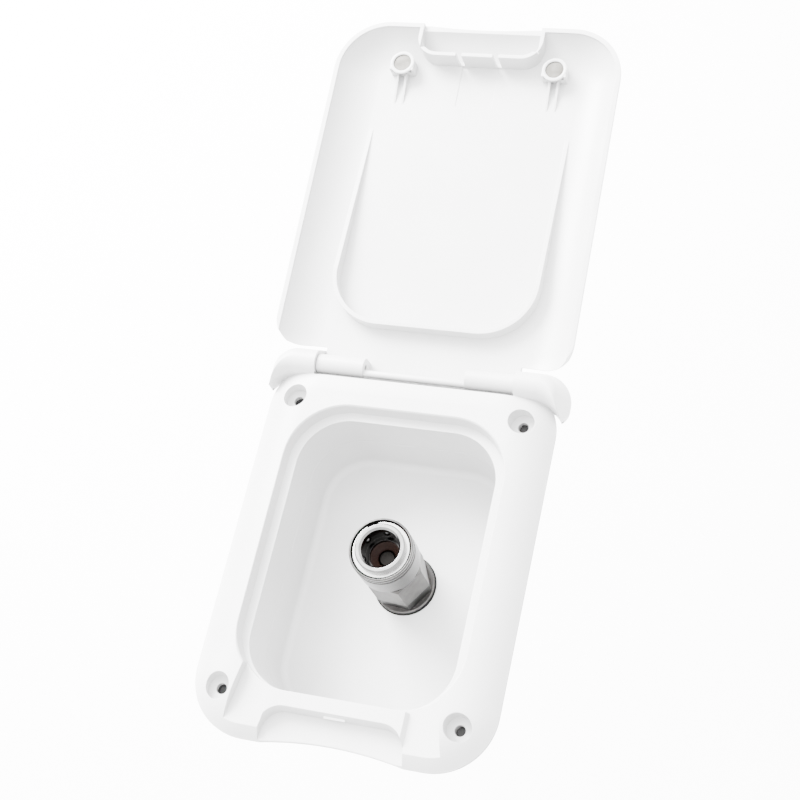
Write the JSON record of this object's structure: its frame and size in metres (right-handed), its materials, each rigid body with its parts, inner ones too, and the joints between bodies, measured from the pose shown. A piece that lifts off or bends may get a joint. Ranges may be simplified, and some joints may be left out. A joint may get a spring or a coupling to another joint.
{
  "type": "water filler hatch",
  "caption": "Wall-mounted water filler hatch with a hinged domed lid, magnetic and snap closure, recessed bowl and a quick-release hose coupler with a sprung sleeve and check valve.",
  "frame": {"origin": "on the wall plane, at the centre of the four screw holes", "axes": "+Z out of the wall, +Y towards the hinge, +X to the right seen from outside"},
  "size_m": [0.1266, 0.3091, 0.0886],
  "materials": {
    "housing_plastic": "moulded satin",
    "lid_plastic": "moulded satin",
    "gasket_rubber": "matt",
    "seal_rubber": "matt",
    "magnet_metal": "plated",
    "keeper_steel": "plated",
    "pin_steel": "drawn",
    "plated_brass": "satin nickel plate",
    "sleeve_metal": "bright turned plate",
    "spring_steel": "drawn wire",
    "ball_steel": "polished",
    "valve_brass": "turned",
    "washer_rubber": "matt"
  },
  "bodies": {
    "base": {"base_housing": "housing_plastic", "wall_gasket": "gasket_rubber", "keeper_disc_left": "keeper_steel", "keeper_disc_right": "keeper_steel", "hinge_pin_left": "pin_steel", "hinge_pin_right": "pin_steel", "coupler_adapter": "plated_brass", "socket_body": "plated_brass", "snap_ring": "spring_steel", "sleeve_spring": "spring_steel", "mouth_seal": "seal_rubber", "valve_guide": "valve_brass", "valve_spring": "spring_steel", "floor_washer": "washer_rubber", "rear_washer": "washer_rubber", "lock_nut": "plated_brass"},
    "lid": {"lid_shell": "lid_plastic", "lid_magnet_left": "magnet_metal", "lid_magnet_right": "magnet_metal"},
    "sleeve": {"coupler_sleeve": "sleeve_metal"},
    "valve": {"valve_poppet": "valve_brass"},
    "ball_1": {"locking_ball_1": "ball_steel"},
    "ball_2": {"locking_ball_2": "ball_steel"},
    "ball_3": {"locking_ball_3": "ball_steel"},
    "ball_4": {"locking_ball_4": "ball_steel"},
    "ball_5": {"locking_ball_5": "ball_steel"},
    "ball_6": {"locking_ball_6": "ball_steel"}
  },
  "joints": [
    {"name": "lid_hinge", "type": "hinge", "parent": "base", "child": "lid", "pos_m": [0, 0.0765, 0.0072], "axis": [-1, 0, 0], "range_deg": [-173.5, 6.5]},
    {"name": "sleeve_slide", "type": "slide", "parent": "base", "child": "sleeve", "axis": [0, 0, -1], "range_m": [0, 0.0032], "stiffness_N_per_m": 1500, "springref_m": -0.0001, "deforming": ["sleeve_spring"]},
    {"name": "valve_slide", "type": "slide", "parent": "base", "child": "valve", "axis": [0, 0, -1], "range_m": [0, 0.004], "stiffness_N_per_m": 400, "springref_m": -0.0001, "deforming": ["valve_spring"]},
    {"name": "ball_1_release", "type": "slide", "parent": "base", "child": "ball_1", "axis": [0.866, 0.5, 0], "range_m": [0, 0.0008]},
    {"name": "ball_2_release", "type": "slide", "parent": "base", "child": "ball_2", "axis": [0, 1, 0], "range_m": [0, 0.0008]},
    {"name": "ball_3_release", "type": "slide", "parent": "base", "child": "ball_3", "axis": [-0.866, 0.5, 0], "range_m": [0, 0.0008]},
    {"name": "ball_4_release", "type": "slide", "parent": "base", "child": "ball_4", "axis": [-0.866, -0.5, 0], "range_m": [0, 0.0008]},
    {"name": "ball_5_release", "type": "slide", "parent": "base", "child": "ball_5", "axis": [0, -1, 0], "range_m": [0, 0.0008]},
    {"name": "ball_6_release", "type": "slide", "parent": "base", "child": "ball_6", "axis": [0.866, -0.5, 0], "range_m": [0, 0.0008]}
  ],
  "couplings": [
    {"joint": "ball_1_release", "follows": "sleeve_slide", "ratio": 0.25},
    {"joint": "ball_2_release", "follows": "sleeve_slide", "ratio": 0.25},
    {"joint": "ball_3_release", "follows": "sleeve_slide", "ratio": 0.25},
    {"joint": "ball_4_release", "follows": "sleeve_slide", "ratio": 0.25},
    {"joint": "ball_5_release", "follows": "sleeve_slide", "ratio": 0.25},
    {"joint": "ball_6_release", "follows": "sleeve_slide", "ratio": 0.25}
  ]
}
